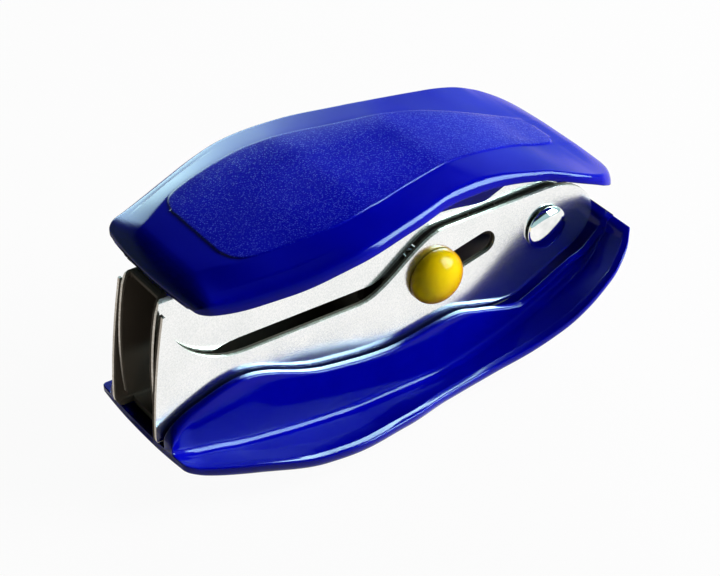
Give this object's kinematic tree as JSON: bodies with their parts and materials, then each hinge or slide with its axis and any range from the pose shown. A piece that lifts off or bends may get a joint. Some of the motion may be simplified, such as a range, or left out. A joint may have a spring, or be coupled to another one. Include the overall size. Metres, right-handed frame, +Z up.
{
  "type": "staple remover",
  "caption": "Jaw-type staple remover: folded steel claws hinged on a rivet, moulded grip covers, and a sliding lock with domed buttons.",
  "frame": {"origin": "middle of the tool's box, on the surface it lies on", "axes": "+X from the claws to the hinge, +Y along the rivet towards the tool's left button, +Z up"},
  "size_m": [0.0662, 0.03, 0.0324],
  "materials": {
    "blue_plastic": "gloss",
    "nickel_plate": "satin nickel plate on steel",
    "spring_wire": "drawn spring wire",
    "yellow_plastic": "gloss"
  },
  "bodies": {
    "lower": {"lower_cover": "blue_plastic", "lower_jaw": "nickel_plate", "pivot_rivet": "nickel_plate", "torsion_spring": "spring_wire"},
    "upper": {"upper_cover": "blue_plastic", "upper_jaw": "nickel_plate"},
    "lock": {"lock_pin": "nickel_plate", "lock_button_right": "yellow_plastic", "lock_button_left": "yellow_plastic"}
  },
  "joints": [
    {"name": "jaw_hinge", "type": "hinge", "parent": "lower", "child": "upper", "pos_m": [0.02305, 0, 0.0162], "axis": [0, 1, 0], "range_deg": [0, 30], "deforming": ["torsion_spring"]},
    {"name": "lock_slide", "type": "slide", "parent": "lower", "child": "lock", "axis": [0.9724, 0, 0.2334], "range_m": [-0.0018, 0.0077]}
  ]
}
